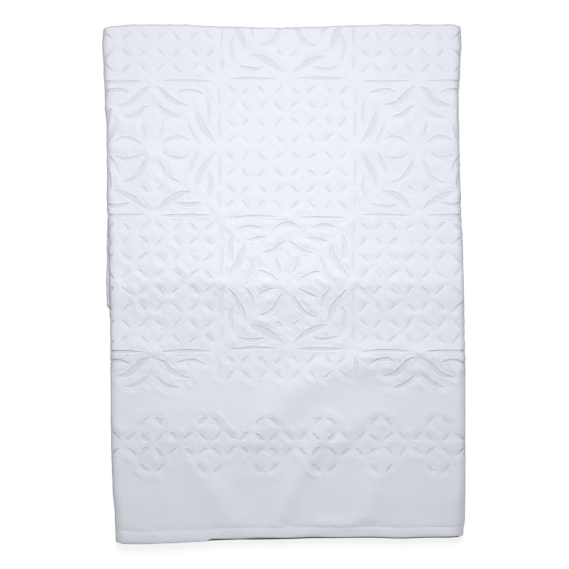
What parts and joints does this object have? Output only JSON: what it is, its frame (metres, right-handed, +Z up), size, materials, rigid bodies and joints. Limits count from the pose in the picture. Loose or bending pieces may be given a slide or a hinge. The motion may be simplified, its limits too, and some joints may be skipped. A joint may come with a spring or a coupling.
{
  "type": "folded applique bedspread",
  "caption": "White cotton bedspread with cutwork applique sewn on its ground cloth, hemmed all round, lying folded in thirds across and in half along.",
  "frame": {"origin": "middle of the box's lower face, on the surface that the folded cloth lies on", "axes": "+Y from the hems, which lie together at the near end, to the cross fold at the far end; +Z up, out of the face that shows; +X to the right as seen from above with the hems nearest"},
  "size_m": [0.7817, 1.1188, 0.032],
  "materials": {
    "white_cotton": "matt plain-weave cotton, white with a faint cool cast, hand-sewn cutwork of the same cotton on its face"
  },
  "bodies": {
    "root": {"bedspread": "white_cotton"}
  },
  "joints": []
}
